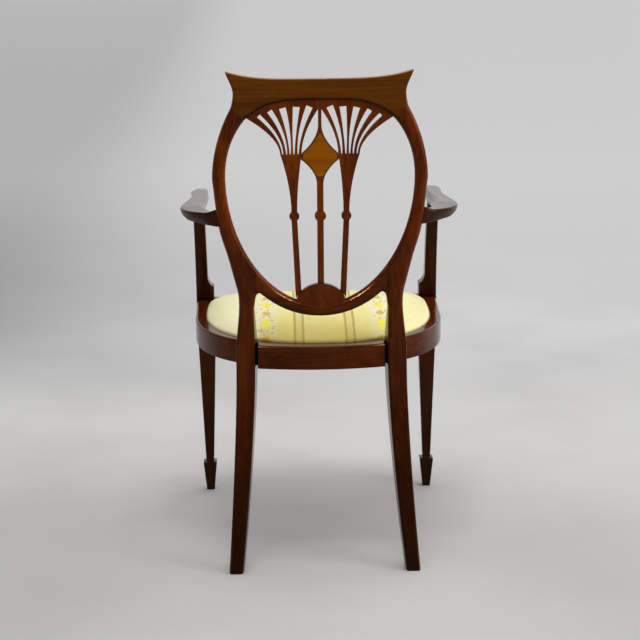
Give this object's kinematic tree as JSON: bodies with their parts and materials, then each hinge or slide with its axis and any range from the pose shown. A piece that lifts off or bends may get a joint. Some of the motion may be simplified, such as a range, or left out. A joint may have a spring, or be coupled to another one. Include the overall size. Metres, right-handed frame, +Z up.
{
  "type": "elbow chair",
  "caption": "Mahogany elbow chair with a pierced oval back of fanned splats, an eared crest, down-curved arms, spade front feet and a loose crowned seat in striped silk.",
  "frame": {"origin": "on the floor, under the middle of the chair's outer box", "axes": "+Z up, the sitter faces -Y, +X is the sitter's left"},
  "size_m": [0.52, 0.55, 0.9355],
  "materials": {
    "mahogany": "French polished red-brown mahogany, glossy, with darker edges",
    "crest_mahogany": "French polished olive-brown mahogany, glossy",
    "satinwood": "golden satinwood veneer, polished",
    "beech": "bare beech, matt",
    "jute": "woven jute webbing and hessian",
    "silk": "pale yellow-green slubbed silk with thin stripes and small sprigs",
    "steel": "plain steel screws"
  },
  "bodies": {
    "chair_frame": {"rear_leg_left": "mahogany", "rear_leg_right": "mahogany", "crest_rail": "crest_mahogany", "lower_back_rail": "mahogany", "splat_shoe": "mahogany", "fan_splat_left": "mahogany", "fan_splat_right": "mahogany", "centre_splat": "mahogany", "diamond_veneer_rear": "satinwood", "diamond_veneer_front": "satinwood", "arm_left": "mahogany", "arm_right": "mahogany", "arm_support_left": "mahogany", "arm_support_right": "mahogany", "front_leg_left": "mahogany", "front_leg_right": "mahogany", "rear_seat_rail": "mahogany", "front_seat_rail": "mahogany", "side_seat_rail_left": "mahogany", "side_seat_rail_right": "mahogany", "corner_block_rear_left": "beech", "corner_block_rear_right": "beech", "corner_block_front_left": "beech", "corner_block_front_right": "beech", "block_screw_rear_1_left": "steel", "block_screw_rear_1_right": "steel", "block_screw_rear_2_left": "steel", "block_screw_rear_2_right": "steel", "block_screw_front_1_left": "steel", "block_screw_front_1_right": "steel", "block_screw_front_2_left": "steel", "block_screw_front_2_right": "steel"},
    "loose_seat": {"loose_seat_rear_rail": "beech", "loose_seat_front_rail": "beech", "loose_seat_side_rail_left": "beech", "loose_seat_side_rail_right": "beech", "webbing_long_left": "jute", "webbing_long_middle": "jute", "webbing_long_right": "jute", "webbing_cross_front": "jute", "webbing_cross_middle": "jute", "webbing_cross_rear": "jute", "hessian_sheet": "jute", "seat_cushion": "silk"}
  },
  "joints": [
    {"name": "seat_lift", "type": "slide", "parent": "chair_frame", "child": "loose_seat", "axis": [0, 0, 1], "range_m": [0, 0.15]}
  ]
}
